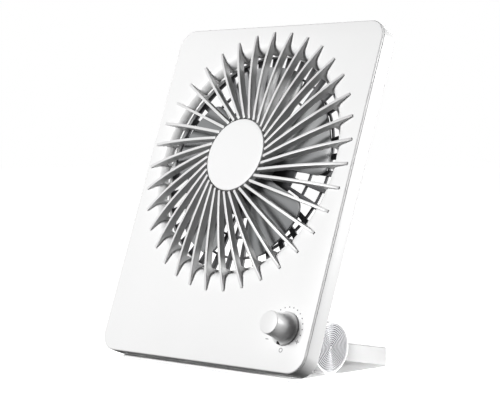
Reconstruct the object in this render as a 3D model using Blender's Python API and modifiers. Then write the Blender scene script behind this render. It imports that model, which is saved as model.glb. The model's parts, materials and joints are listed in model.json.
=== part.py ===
"""Folding desk fan: a thin slab with a domed spiral grille, leaning on a fold-out foot.

Metres, +Z up. The front faces -Y and the object stands on Z = 0, centred in its bounding box.
Three frames hold the parts:
  slab_frame  X right, Y depth behind the front face, Z up the slab from its bottom edge
  fan_axis    X right, Y up the slab, Z forward out of the front face
  hinge_axis  Z along the hinge, towards the right-hand end
"""

from math import cos, pi, radians, sin, sqrt, tan

import bmesh
import bpy
from mathutils import Matrix, Vector

mm = 0.001

# Slab
slab_width = 150 * mm
slab_length = 186.2 * mm
slab_depth = 11.2 * mm
slab_corner = 10 * mm
slab_lean = radians(20)
cover_edge = 1.0 * mm
cover_soft_edge = 0.5 * mm
cover_thickness = 3.0 * mm
seam_gap = 0.5 * mm
casing_wall = 2.0 * mm
casing_round = 1.8 * mm
fit = 0.3 * mm
close_fit = 0.15 * mm
overlap = 0.2 * mm

# Round opening and spiral grille
fan_height = 109.9 * mm
duct_radius = 61.5 * mm
duct_wall = 2.5 * mm
duct_depth = 6.2 * mm
flare_round = 5.0 * mm
fin_count = 35
fin_skew = 10 * mm
fin_thickness = 1.5 * mm
fin_depth = 4.1 * mm
fin_turn = radians(6.95)
fin_reach = 5.9 * mm
fin_gap = 0.35 * mm
dome_height = 8.3 * mm
dome_overhang = 1.8 * mm
ring_wall = 1.2 * mm
ring_front = 4.2 * mm
ring_back = 6.0 * mm
badge_radius = 19.9 * mm
badge_face = 8.5 * mm
badge_thickness = 1.2 * mm
badge_soft_edge = 0.3 * mm
cup_wall = 1.7 * mm
cup_top_wall = 1.3 * mm

# Rear grille
grille_margin = 2.5 * mm
grille_thickness = 1.6 * mm
grille_lip = 3.5 * mm
grille_flange = 0.9 * mm
grille_wall = 0.8 * mm
grille_rim = 1.0 * mm
slot_columns = 36
slot_rows = 3
slot_length = 10.4 * mm
slot_spacing = 11.5 * mm
slot_margin = 1.6 * mm
slot_half_angle = radians(3.4)
slot_turn = radians(1.3)

# Impeller and motor
hub_gap = 0.8 * mm
hub_wall = 1.2 * mm
hub_rear = -7.0 * mm
hub_soft_edge = 1.0 * mm
hub_boss_wall = 2.0 * mm
shaft_seat = 0.7 * mm
blade_count = 5
blade_clearance = 6.0 * mm
blade_thickness = 1.2 * mm
blade_middle = -5.0 * mm
blade_half_rise = 2.6 * mm
blade_camber = 0.5 * mm
blade_half_angle = radians(28)
blade_phase = radians(20)
magnet_thickness = 1.2 * mm
air_gap = 0.4 * mm
stator_gap = 1.0 * mm
stator_waist = 0.55
winding_edge = 1.2 * mm
winding_slope = 1.0 * mm
shaft_radius = 1.5 * mm
bearing_wall = 1.8 * mm
bearing_length = 2.6 * mm
running_fit = 0.1 * mm
mount_thickness = 1.0 * mm
motor_screw_circle = 9.5 * mm
motor_screw_radius = 1.0 * mm
screw_clearance = 0.2 * mm

# Control knob
knob_margin = 17.1 * mm
knob_height = 22.1 * mm
knob_radius = 5.95 * mm
knob_waist = 6.3 * mm
knob_skirt = 8.6 * mm
knob_length = 12.4 * mm
knob_lift = 0.4 * mm
knob_soft_edge = 0.4 * mm
knob_roof = 2.5 * mm
knob_sweep_height = 6.2 * mm
skirt_edge = 0.8 * mm
control_shaft_radius = 2.5 * mm
shaft_clearance = 0.5 * mm
control_body = 10 * mm
control_corner = 1 * mm
board_width = 35 * mm
board_height = 24 * mm
board_thickness = 1.2 * mm
board_gap = 0.4 * mm
board_reach = 3.4 * mm
lens_from_knob = 24 * mm
lens_above_knob = 8 * mm

# Charging socket and status lens
socket_width = 9.0 * mm
socket_height = 3.2 * mm
socket_length = 7.0 * mm
socket_wall = 0.3 * mm
socket_recess = 0.4 * mm
tongue_half = 0.35 * mm
tongue_recess = 1.0 * mm
socket_from_bottom = 26 * mm
lens_radius = 1.6 * mm
lens_proud = 0.2 * mm

# Hinge barrel and cell
cell_radius = 9.2 * mm
cell_length = 65 * mm
contact_room = 8.9 * mm
bush_length = 8.0 * mm
barrel_wall = 3.1 * mm
neck_length = 5.9 * mm
hinge_end_margin = 2.8 * mm
slab_rest_gap = 0.33 * mm
knuckle_gap = 0.4 * mm
knuckle_wall = 0.8 * mm
knuckle_web = 4.0 * mm
pin_radius = 3.0 * mm
pin_head = 5.5 * mm
pin_head_thickness = 2.5 * mm
contact_tip = 2.5 * mm
contact_base = 7.5 * mm
washer_rim = 1.5 * mm
washer_thickness = 0.8 * mm
cap_thickness = 1.2 * mm
cap_inset = 0.4 * mm
neck_width = 96 * mm
neck_below = 5 * mm
neck_above = 9 * mm
neck_screw_side = 18 * mm
neck_screw_bite = 5 * mm
neck_screw_head = 1.2 * mm
neck_screw_gap = 0.8 * mm

# Foot
foot_side_margin = 8.8 * mm
foot_front = 28.2 * mm
foot_rear = 41.9 * mm
foot_thickness = 1.6 * mm
foot_corner = 4 * mm
lip_height = 11.3 * mm
lip_thickness = 1.6 * mm
saddle_width = 8 * mm
saddle_top = 0.9
pad_radius = 4 * mm
pad_thickness = 0.9 * mm
pad_below = 0.3 * mm
pad_clearance = 0.2 * mm
pad_margin = 8 * mm

# Screws
screw_radius = 1.25 * mm
screw_head = 2.4 * mm
screw_head_depth = 1.0 * mm
screw_inset = 10 * mm
boss_radius = 3.2 * mm
pilot_clearance = 0.25 * mm

# Meshes
weld_distance = 0.01 * mm
smooth_below = radians(35)

# Worked out from the sizes above
barrel_radius = cell_radius + fit + barrel_wall
hinge_radius = barrel_radius + knuckle_gap
hinge_back = slab_depth + neck_length + hinge_radius
foot_width = slab_width - 2 * foot_side_margin
hinge_end = foot_width / 2 - hinge_end_margin
knob_side = slab_width / 2 - knob_margin
plate_top = pad_below + foot_thickness
hinge_z = plate_top + hinge_radius
rounded_corner = casing_round * (cos(slab_lean) + sin(slab_lean) - 1)
slab_z = plate_top + slab_rest_gap + slab_depth * sin(slab_lean) - rounded_corner
hinge_up = (hinge_z - slab_z + hinge_back * sin(slab_lean)) / cos(slab_lean)
hinge_from_slab = hinge_up * sin(slab_lean) + hinge_back * cos(slab_lean)
knob_front = (
    (knob_height - knob_radius) * sin(slab_lean) - (knob_length + knob_lift) * cos(slab_lean)
)
slab_y = -(knob_front + hinge_from_slab + foot_rear) / 2
hinge_y = slab_y + hinge_from_slab
flare_radius = duct_radius + flare_round
ring_outer = duct_radius - fit
ring_inner = ring_outer - ring_wall
blade_tip = ring_inner - blade_clearance
fin_tip = flare_radius + fin_reach
dome_radius = fin_tip + dome_overhang
grille_radius = duct_radius + grille_margin
badge_back = badge_face - badge_thickness
cup_top = badge_back - fit
cup_outer = badge_radius - 2 * fit
cup_inner = cup_outer - cup_wall
cup_roof = cup_top - cup_top_wall
hub_radius = cup_inner - hub_gap
hub_top = cup_roof - hub_gap
magnet_outer = hub_radius - hub_wall - fit
magnet_inner = magnet_outer - magnet_thickness
stator_radius = magnet_inner - air_gap
back_inside = slab_depth - casing_wall
grille_inside = slab_depth - grille_thickness
bearing_outer = shaft_radius + running_fit + bearing_wall
bore_radius = bearing_outer + close_fit
mount_front = -(grille_inside - fit - mount_thickness)
stator_rear = mount_front + fit
stator_front = hub_top - hub_wall - stator_gap
barrel_half = cell_length / 2 + contact_room + bush_length + 2 * fit
barrel_bore = cell_radius + fit
knuckle_start = barrel_half + knuckle_gap
board_back = back_inside - board_gap
board_front = board_back - board_thickness
board_right = knob_side + board_reach


# Helpers -------------------------------------------------------------------------------------


def colour(hex_code):
    channels = [int(hex_code[i : i + 2], 16) / 255 for i in (0, 2, 4)]
    return [c / 12.92 if c <= 0.04045 else ((c + 0.055) / 1.055) ** 2.4 for c in channels]


def material(name, hex_code, roughness=0.4, metallic=0.0):
    made = bpy.data.materials.new(name)
    made.use_nodes = True
    surface = made.node_tree.nodes["Principled BSDF"]
    surface.inputs["Base Color"].default_value = (*colour(hex_code), 1)
    surface.inputs["Roughness"].default_value = roughness
    surface.inputs["Metallic"].default_value = metallic
    made.diffuse_color = (*colour(hex_code), 1)
    return made


def frame(name, location, rotation, parent=None):
    empty = bpy.data.objects.new(name, None)
    empty.empty_display_size = 10 * mm
    empty.location = location
    empty.rotation_euler = rotation
    empty.parent = parent
    parts.objects.link(empty)
    return empty


def add(name, mesh, parent, look, location=(0, 0, 0)):
    obj = bpy.data.objects.new(name, mesh)
    obj.parent = parent
    obj.location = location
    mesh.materials.append(look)
    (cutters if look is cutter_look else parts).objects.link(obj)
    if look is cutter_look:
        obj.display_type = "WIRE"
    return obj


def finish_mesh(name, bm):
    bmesh.ops.recalc_face_normals(bm, faces=bm.faces)
    mesh = bpy.data.meshes.new(name)
    bm.to_mesh(mesh)
    bm.free()
    mesh.shade_smooth()
    mesh.set_sharp_from_angle(angle=smooth_below)
    return mesh


def flat_piece(outline, thickness):
    """A closed outline in XY made into a plate, centred on Z = 0, as a welded mesh."""
    curve = bpy.data.curves.new("Outline", "CURVE")
    curve.dimensions = "2D"
    curve.fill_mode = "BOTH"
    curve.extrude = thickness / 2
    spline = curve.splines.new("POLY")
    spline.points.add(len(outline) - 1)
    spline.use_cyclic_u = True
    for point, (x, y) in zip(spline.points, outline):
        point.co = (x, y, 0, 1)
    guide = bpy.data.objects.new("Outline", curve)
    cutters.objects.link(guide)
    graph = bpy.context.evaluated_depsgraph_get()
    mesh = bpy.data.meshes.new_from_object(guide.evaluated_get(graph))
    bpy.data.objects.remove(guide)
    bm = bmesh.new()
    bm.from_mesh(mesh)
    bmesh.ops.remove_doubles(bm, verts=bm.verts, dist=weld_distance)
    bm.to_mesh(mesh)
    bm.free()
    return mesh


def block(name, low, high, parent, look, corner=0.0, along="Y", segments=6):
    """A box between two corners. Its edges that run along one axis can be rounded."""
    low, high = Vector(low), Vector(high)
    bm = bmesh.new()
    bmesh.ops.create_cube(bm, size=1)
    bmesh.ops.scale(bm, vec=high - low, verts=bm.verts)
    bmesh.ops.translate(bm, vec=(low + high) / 2, verts=bm.verts)
    if corner:
        axis = "XYZ".index(along)
        edges = [e for e in bm.edges if abs((e.verts[0].co - e.verts[1].co)[axis]) > 0]
        bmesh.ops.bevel(bm, geom=edges, offset=corner, segments=segments, affect="EDGES", profile=0.5)
    return add(name, finish_mesh(name, bm), parent, look)


def rod(name, radius, start, end, parent, look, at=(0, 0), segments=32):
    """A cylinder along its frame's Z, from start to end."""
    bm = bmesh.new()
    bmesh.ops.create_cone(
        bm, cap_ends=True, segments=segments, radius1=radius, radius2=radius, depth=abs(end - start)
    )
    bmesh.ops.translate(bm, vec=(*at, (start + end) / 2), verts=bm.verts)
    return add(name, finish_mesh(name, bm), parent, look)


def turned(name, profile, parent, look, segments=64, closed=False, at=(0, 0, 0)):
    """A profile of (radius, height) pairs, from the top down its outer side, turned about Z."""
    mesh = bpy.data.meshes.new(name)
    count = len(profile)
    edges = [(i, i + 1) for i in range(count - 1)] + ([(count - 1, 0)] if closed else [])
    mesh.from_pydata([(radius, 0, height) for radius, height in profile], edges, [])
    obj = add(name, mesh, parent, look, at)
    screw = obj.modifiers.new("Turn", "SCREW")
    screw.steps = screw.render_steps = segments
    screw.use_merge_vertices = True
    screw.merge_threshold = weld_distance
    return obj


def boolean(target, other, operation):
    made = target.modifiers.new(f"{operation.title()} {other.name}", "BOOLEAN")
    made.operation = operation
    made.solver = "EXACT"
    made.object = other


def cut(target, *tools):
    for tool in tools:
        boolean(target, tool, "DIFFERENCE")


def join(target, *additions):
    for addition in additions:
        boolean(target, addition, "UNION")


def dome(radius):
    """Height of the fins' front edges above the front face."""
    return dome_height * (1 - (radius / dome_radius) ** 3)


def flare(angle, away=0.0):
    """A point on the opening's rounded edge, as (radius, height), or a distance away from it."""
    reach = flare_round + away
    return flare_radius - reach * sin(angle), reach * cos(angle) - flare_round


def spread(start, end, count):
    return [start + (end - start) * i / (count - 1) for i in range(count)]


# Slab ----------------------------------------------------------------------------------------


def slab_block(name, inset, front, back, look, segments=8):
    half = slab_width / 2 - inset
    low, high = (-half, front, inset), (half, back, slab_length - inset)
    return block(name, low, high, slab_frame, look, slab_corner - inset, segments=segments)


def screw_places():
    side = slab_width / 2 - screw_inset
    return [(x, z) for z in (screw_inset, slab_length - screw_inset) for x in (-side, side)]


def front_cover():
    cover = slab_block("front_cover", 0, 0, cover_edge, white_plastic)
    edge = cover.modifiers.new("Rounded front edge", "BEVEL")
    edge.width = cover_soft_edge
    edge.segments = 2
    edge.limit_method = "ANGLE"
    edge.angle_limit = radians(60)
    inset = casing_wall + fit
    inner = slab_block("cover_inner_layer", inset, cover_edge / 2, cover_thickness, cutter_look)
    outer = duct_radius + duct_wall
    duct = rod(
        "cover_duct", outer, -duct_depth, -cover_thickness / 2, fan_axis, cutter_look, segments=80
    )
    rim = [flare(angle) for angle in spread(0, pi / 2, 6)]
    opening = turned(
        "cover_opening",
        [(0, slab_depth), (flare_radius, slab_depth)] + rim + [(duct_radius, -slab_depth), (0, -slab_depth)],
        fan_axis,
        cutter_look,
        segments=80,
    )
    shaft_hole = rod(
        "cover_shaft_hole", control_shaft_radius + shaft_clearance, -slab_depth, slab_depth, knob_axis,
        cutter_look,
    )
    join(cover, inner, duct)
    for i, (x, z) in enumerate(screw_places()):
        centre = (x, -z)
        boss = rod(
            f"cover_boss_{i}", boss_radius, cover_thickness / 2, back_inside - fit, depth_axis,
            cutter_look, centre, 20,
        )
        join(cover, boss)
    cut(cover, opening, shaft_hole)
    for i, (x, z) in enumerate(screw_places()):
        hole = rod(
            f"cover_boss_hole_{i}", screw_radius + pilot_clearance, cover_thickness, slab_depth, depth_axis,
            cutter_look, (x, -z), 16,
        )
        cut(cover, hole)


def rear_casing():
    front = cover_edge + seam_gap
    casing = slab_block("rear_casing", 0, front, slab_depth, white_plastic)
    bevel_back(casing)
    cavity = slab_block("casing_cavity", casing_wall, 0, back_inside, cutter_look)
    window = rod(
        "casing_window", grille_radius + fit, -2 * slab_depth, 0, fan_axis, cutter_look, segments=80
    )
    cut(casing, cavity, window)
    for i, (x, z) in enumerate(screw_places()):
        hole = rod(
            f"casing_hole_{i}", screw_radius + fit, 0, 2 * slab_depth, depth_axis, cutter_look,
            (x, -z), 16,
        )
        seat = rod(
            f"casing_seat_{i}", screw_head + fit, slab_depth - screw_head_depth, 2 * slab_depth,
            depth_axis, cutter_look, (x, -z), 20,
        )
        cut(casing, hole, seat)
    half = socket_height / 2 + fit
    middle = socket_middle()
    side = slab_width / 2
    socket_hole = block(
        "casing_socket_hole",
        (-side - casing_wall, middle - half, socket_from_bottom - socket_width / 2 - fit),
        (-side + 2 * casing_wall, middle + half, socket_from_bottom + socket_width / 2 + fit),
        slab_frame,
        cutter_look,
        corner=half * 0.9,
        along="X",
        segments=4,
    )
    lens_hole = rod(
        "casing_lens_hole", lens_radius + fit, 0, 2 * slab_depth, depth_axis, cutter_look, lens_place(), 16
    )
    cut(casing, socket_hole, lens_hole)
    for i, x in enumerate(neck_screw_places()):
        hole = rod(
            f"casing_neck_hole_{i}", screw_radius + fit, 0, 2 * slab_depth, depth_axis,
            cutter_look, (x, -hinge_up), 16,
        )
        cut(casing, hole)


def bevel_back(casing):
    """Rounds the outer back edge, before anything is cut."""
    bm = bmesh.new()
    bm.from_mesh(casing.data)
    back = [e for e in bm.edges if all(v.co.y > slab_depth - weld_distance for v in e.verts)]
    bmesh.ops.bevel(bm, geom=back, offset=casing_round, segments=3, affect="EDGES", profile=0.5)
    bm.to_mesh(casing.data)
    bm.free()


def casing_screws():
    for i, (x, z) in enumerate(screw_places()):
        head_top = slab_depth - overlap
        neck = slab_depth - screw_head_depth + running_fit
        screw = rod(
            f"casing_screw_{i + 1}", screw_head, neck, head_top, depth_axis, steel, (x, -z), 20
        )
        thread = rod(
            f"casing_screw_thread_{i + 1}", screw_radius, cover_thickness + fit, neck + overlap,
            depth_axis, cutter_look, (x, -z), 12,
        )
        join(screw, thread)


# Spiral grille -------------------------------------------------------------------------------


def fin_outline():
    """(distance along the fin, height) round one fin, which lies on a straight skewed line."""
    start = badge_radius + 2 * fit
    top = [(r, dome(r)) for r in spread(start, fin_tip, 6)]
    rest = [(fin_tip, fin_gap)] + [flare(radians(a), fin_gap) for a in (0, 30, 60, 80)]
    leg_inside = ring_inner + overlap
    leg_outside = ring_outer - 2 * overlap
    leg_end = (-ring_front - ring_back) / 2
    leg = [(leg_outside, leg_end), (leg_inside, leg_end)]
    cup_middle = cup_outer - cup_wall / 2
    low = [(r, dome(r) - fin_depth) for r in spread(leg_inside, cup_middle, 5)]
    end = [(cup_middle, cup_top - overlap), (start, cup_top - overlap)]
    return [(sqrt(r * r - fin_skew**2), z) for r, z in top + rest + leg + low + end]


def spiral_grille():
    fin = flat_piece(fin_outline(), fin_thickness)
    stand_up = Matrix.Translation((0, -fin_skew, 0)) @ Matrix.Rotation(pi / 2, 4, "X")
    bm = bmesh.new()
    for i in range(fin_count):
        first = len(bm.verts)
        bm.from_mesh(fin)
        bm.verts.ensure_lookup_table()
        turn = Matrix.Rotation(fin_turn + 2 * pi * i / fin_count, 4, "Z")
        bmesh.ops.transform(bm, matrix=turn @ stand_up, verts=bm.verts[first:])
    grille = add("spiral_grille", finish_mesh("spiral_grille", bm), fan_axis, white_plastic)
    cup = turned(
        "grille_cup",
        [
            (0, cup_top), (cup_outer, cup_top), (cup_outer, dome(cup_outer) - fin_depth),
            (cup_inner, dome(cup_outer) - fin_depth), (cup_inner, cup_roof), (0, cup_roof),
        ],
        fan_axis,
        cutter_look,
        segments=64,
    )
    ring = turned(
        "grille_ring",
        [
            (ring_inner, -ring_front), (ring_outer, -ring_front), (ring_outer, -ring_back),
            (ring_inner, -ring_back),
        ],
        fan_axis,
        cutter_look,
        segments=80,
        closed=True,
    )
    join(grille, cup, ring)


def hub_badge():
    soft = badge_soft_edge
    turned(
        "hub_badge",
        [
            (0, badge_face), (badge_radius - soft, badge_face), (badge_radius, badge_face - soft),
            (badge_radius, badge_back), (0, badge_back),
        ],
        fan_axis,
        white_plastic,
        segments=64,
    )


# Rear grille ---------------------------------------------------------------------------------


def rear_grille():
    lip = grille_radius + grille_lip
    flange_top = -(back_inside - fit - grille_flange)
    wall_inside = grille_radius - grille_rim
    wall_top = -(duct_depth + fit)
    grille = turned(
        "rear_grille",
        [
            (0, -grille_inside), (wall_inside, -grille_inside), (wall_inside, wall_top),
            (wall_inside + grille_wall, wall_top), (wall_inside + grille_wall, flange_top),
            (lip, flange_top),
            (lip, flange_top - grille_flange), (grille_radius, flange_top - grille_flange),
            (grille_radius, -slab_depth), (0, -slab_depth),
        ],
        fan_axis,
        white_plastic,
        segments=60,
    )
    bm = bmesh.new()
    for row in range(slot_rows):
        outer = grille_radius - slot_margin - row * slot_spacing
        inner = outer - slot_length
        for i in range(slot_columns):
            turn = Matrix.Rotation(slot_turn + 2 * pi * i / slot_columns, 4, "Z")
            for v in bmesh.ops.create_cube(bm, size=2)["verts"]:
                x = outer if v.co.x > 0 else inner
                y = x * tan(slot_half_angle) * v.co.y
                v.co = turn @ Vector((x, y, slab_depth * (v.co.z - 1)))
    slots = add("grille_slots", finish_mesh("grille_slots", bm), fan_axis, cutter_look)
    cut(grille, slots)
    for i, place in enumerate(motor_screw_places()):
        hole = rod(
            f"grille_motor_hole_{i}", motor_screw_radius + screw_clearance, -2 * slab_depth, 0, fan_axis,
            cutter_look, place, 12,
        )
        cut(grille, hole)


# Impeller and motor --------------------------------------------------------------------------


def motor_screw_places():
    angles = [2 * pi * i / 3 + pi / 2 for i in range(3)]
    return [(motor_screw_circle * cos(a), motor_screw_circle * sin(a)) for a in angles]


def blade_sheet(bm, phase):
    """One pitched blade with rounded outer corners, as a sheet of quads."""
    start = hub_radius - hub_wall / 2
    sheet = bmesh.ops.create_grid(bm, x_segments=6, y_segments=5, size=1)
    for v in sheet["verts"]:
        out = sin(pi / 4 * (v.co.x + 1))
        across = v.co.y
        radius = start + (blade_tip - start) * out
        half = blade_half_angle * (1 - 0.34 * out**12) * (0.86 + 0.14 * out)
        angle = phase + half * across
        rise = blade_half_rise * across * (1.25 - 0.25 * out) + blade_camber * (1 - across**2)
        v.co = (radius * cos(angle), radius * sin(angle), blade_middle + rise)


def impeller():
    boss = shaft_radius + hub_boss_wall
    bore = shaft_radius + running_fit
    boss_end = stator_front + air_gap
    hub = turned(
        "impeller",
        [
            (0, hub_top), (hub_radius - hub_soft_edge, hub_top), (hub_radius, hub_top - hub_soft_edge),
            (hub_radius, hub_rear), (hub_radius - hub_wall, hub_rear),
            (hub_radius - hub_wall, hub_top - hub_wall), (boss, hub_top - hub_wall),
            (boss, boss_end), (bore, boss_end), (bore, hub_top - shaft_seat), (0, hub_top - shaft_seat),
        ],
        fan_axis,
        grey_plastic,
        segments=56,
    )
    bm = bmesh.new()
    for i in range(blade_count):
        blade_sheet(bm, blade_phase + 2 * pi * i / blade_count)
    blades = add("impeller_blades", finish_mesh("impeller_blades", bm), fan_axis, cutter_look)
    thicken = blades.modifiers.new("Thickness", "SOLIDIFY")
    thicken.thickness = blade_thickness
    thicken.offset = 0
    join(hub, blades)


def motor():
    turned(
        "magnet_ring",
        [
            (magnet_inner, hub_top - hub_wall - fit), (magnet_outer, hub_top - hub_wall - fit),
            (magnet_outer, hub_rear + fit), (magnet_inner, hub_rear + fit),
        ],
        fan_axis,
        dark_metal,
        segments=48,
        closed=True,
    )
    rod(
        "motor_shaft", shaft_radius, mount_front + fit, hub_top - shaft_seat - overlap, fan_axis, steel,
        segments=24,
    )
    waist = stator_radius * stator_waist
    slope_end = winding_edge + winding_slope
    turned(
        "motor_stator",
        [
            (bore_radius, stator_front), (stator_radius, stator_front),
            (stator_radius, stator_front - winding_edge), (waist, stator_front - slope_end),
            (waist, stator_rear + slope_end), (stator_radius, stator_rear + winding_edge),
            (stator_radius, stator_rear), (bore_radius, stator_rear),
        ],
        fan_axis,
        copper,
        segments=36,
        closed=True,
    )
    high, low = stator_front - overlap, stator_rear + overlap
    ends = {
        "motor_bearing_front": (high, high - bearing_length),
        "motor_bearing_rear": (low + bearing_length, low),
    }
    for name, (high, low) in ends.items():
        inner = shaft_radius + running_fit
        turned(
            name,
            [(inner, high), (bearing_outer, high), (bearing_outer, low), (inner, low)],
            fan_axis,
            brass,
            segments=24,
            closed=True,
        )
    mount = rod(
        "motor_mount", stator_radius, mount_front - mount_thickness, mount_front, fan_axis, steel,
        segments=48,
    )
    for i, place in enumerate(motor_screw_places()):
        hole = rod(
            f"mount_hole_{i}", motor_screw_radius + screw_clearance, -2 * slab_depth, 0, fan_axis,
            cutter_look, place, 12,
        )
        cut(mount, hole)
        rod(
            f"motor_screw_{i + 1}", motor_screw_radius, -(slab_depth - fit),
            mount_front - overlap, fan_axis, steel, place, 12,
        )


# Controls ------------------------------------------------------------------------------------


def control_knob():
    crown = [(0, knob_length), (knob_radius - knob_soft_edge, knob_length)]
    side = [(knob_radius, knob_length - knob_soft_edge), (knob_waist, knob_sweep_height)]
    sweep_width, sweep_rise = knob_skirt - knob_waist, knob_sweep_height - skirt_edge
    sweep = [
        (knob_waist + sweep_width * (1 - cos(a)), knob_sweep_height - sweep_rise * sin(a))
        for a in spread(0, pi / 2, 5)[1:]
    ]
    outer = crown + side + sweep + [(knob_skirt, 0)]
    bore = control_shaft_radius + close_fit
    inside = [(bore, 0), (bore, knob_length - knob_roof), (0, knob_length - knob_roof)]
    lifted = [(r, z + knob_lift) for r, z in outer + inside]
    turned("control_knob", lifted, knob_axis, white_plastic, segments=36)
    rod(
        "control_shaft", control_shaft_radius, running_fit - control_front() + fit,
        knob_length + knob_lift - knob_roof - fit, knob_axis, steel, segments=24,
    )


def control_front():
    return cover_thickness + 2 * fit


def electronics():
    low = knob_height - board_height / 2
    board = block(
        "control_board",
        (board_right - board_width, board_front, low),
        (board_right, board_back, low + board_height),
        slab_frame,
        green_board,
    )
    board_hole = rod(
        "board_lens_hole", lens_radius + fit, 0, 2 * slab_depth, depth_axis, cutter_look, lens_place(), 16
    )
    cut(board, board_hole)
    half = control_body / 2
    block(
        "speed_control",
        (knob_side - half, control_front(), knob_height - half),
        (knob_side + half, board_front - fit, knob_height + half),
        slab_frame,
        dark_metal,
        corner=control_corner,
        segments=2,
    )
    mouth = socket_recess - slab_width / 2
    end = mouth + socket_length
    socket = socket_block("charging_socket", 0, mouth, end, steel)
    recess = tongue_recess
    mouth_cut = socket_block("socket_mouth", socket_wall, mouth - recess, end - recess, cutter_look)
    inset = socket_height / 2 - tongue_half
    tongue = socket_block("socket_tongue", inset, mouth + recess, end, cutter_look)
    cut(socket, mouth_cut)
    join(socket, tongue)
    rod(
        "status_lens", lens_radius, board_front + overlap, slab_depth + lens_proud, depth_axis,
        clear_lens, lens_place(), 20,
    )


def socket_block(name, inset, low, high, look):
    middle = socket_middle()
    half, reach = socket_height / 2 - inset, socket_width / 2 - inset
    near = (low, middle - half, socket_from_bottom - reach)
    far = (high, middle + half, socket_from_bottom + reach)
    return block(name, near, far, slab_frame, look, corner=half * 0.84, along="X", segments=3)


def socket_middle():
    return (cover_thickness + back_inside) / 2


def lens_place():
    return (knob_side - lens_from_knob, -(knob_height + lens_above_knob))


def neck_screw_places():
    return (-neck_screw_side, neck_screw_side)


# Hinge barrel --------------------------------------------------------------------------------


def battery_barrel():
    barrel = rod(
        "battery_barrel", barrel_radius, -barrel_half, barrel_half, hinge_axis, white_plastic, segments=48
    )
    neck = block(
        "barrel_neck",
        (-neck_width / 2, slab_depth + fit, hinge_up - neck_below),
        (neck_width / 2, hinge_back, hinge_up + neck_above),
        slab_frame,
        cutter_look,
    )
    bore = rod(
        "barrel_bore", barrel_bore, -2 * barrel_half, 2 * barrel_half, hinge_axis, cutter_look, segments=48
    )
    join(barrel, neck)
    cut(barrel, bore)
    head_top = back_inside - neck_screw_gap
    for i, x in enumerate(neck_screw_places()):
        pilot = rod(
            f"neck_pilot_{i}", screw_radius + pilot_clearance, back_inside,
            slab_depth + neck_screw_bite + 3 * fit, depth_axis, cutter_look, (x, -hinge_up), 12,
        )
        cut(barrel, pilot)
        screw = rod(
            f"barrel_screw_{i + 1}", screw_head, head_top - neck_screw_head, head_top, depth_axis,
            steel, (x, -hinge_up), 16,
        )
        thread = rod(
            f"barrel_screw_thread_{i}", screw_radius, head_top - 2 * overlap,
            slab_depth + neck_screw_bite + fit, depth_axis, cutter_look, (x, -hinge_up), 12,
        )
        join(screw, thread)
    rod(
        "battery_cell", cell_radius, -cell_length / 2, cell_length / 2, hinge_axis, cell_wrap, segments=40
    )


def hinge_end_parts(side, sign):
    """The pieces at one end of the hinge. sign is 1 on the right and -1 on the left."""

    def disc(name, outer, inner, start, end, look, segments=32):
        low, high = sorted((sign * start, sign * end))
        if not inner:
            return rod(name, outer, low, high, hinge_axis, look, segments=segments)
        ring = [(inner, high), (outer, high), (outer, low), (inner, low)]
        return turned(name, ring, hinge_axis, look, segments=segments, closed=True)

    bore = pin_radius + running_fit
    contact_start = cell_length / 2 + fit
    cone_end = contact_start + contact_room - 2 * fit
    low, high = (contact_start, contact_tip), (cone_end, contact_base)
    profile = [low, high] if sign < 0 else [high, low]
    turned(
        f"cell_contact_{side}",
        [(0, sign * profile[0][0])] + [(r, sign * x) for x, r in profile] + [(0, sign * profile[1][0])],
        hinge_axis,
        steel,
        segments=24,
    )
    bush_start = barrel_half - bush_length
    disc(f"hinge_bush_{side}", barrel_bore - close_fit, bore, bush_start, barrel_half, dark_plastic)
    washer_start = knuckle_start + knuckle_web + close_fit
    washer_end = washer_start + washer_thickness
    washer_radius = pin_head + washer_rim
    disc(f"friction_washer_{side}", washer_radius, bore, washer_start, washer_end, brass)
    head_start = washer_end + close_fit
    pin = disc(f"hinge_pin_{side}", pin_head, 0, head_start, head_start + pin_head_thickness, steel)
    shank_ends = bush_start + overlap, head_start + 2 * overlap
    shank = disc(f"hinge_pin_shank_{side}", pin_radius, 0, *shank_ends, cutter_look, 24)
    join(pin, shank)
    face = hinge_end - cap_inset
    cap_radius = hinge_radius - knuckle_wall - close_fit
    disc(f"end_cap_{side}", cap_radius, 0, face - cap_thickness, face, grey_metal, 48)


# Foot ----------------------------------------------------------------------------------------


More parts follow.
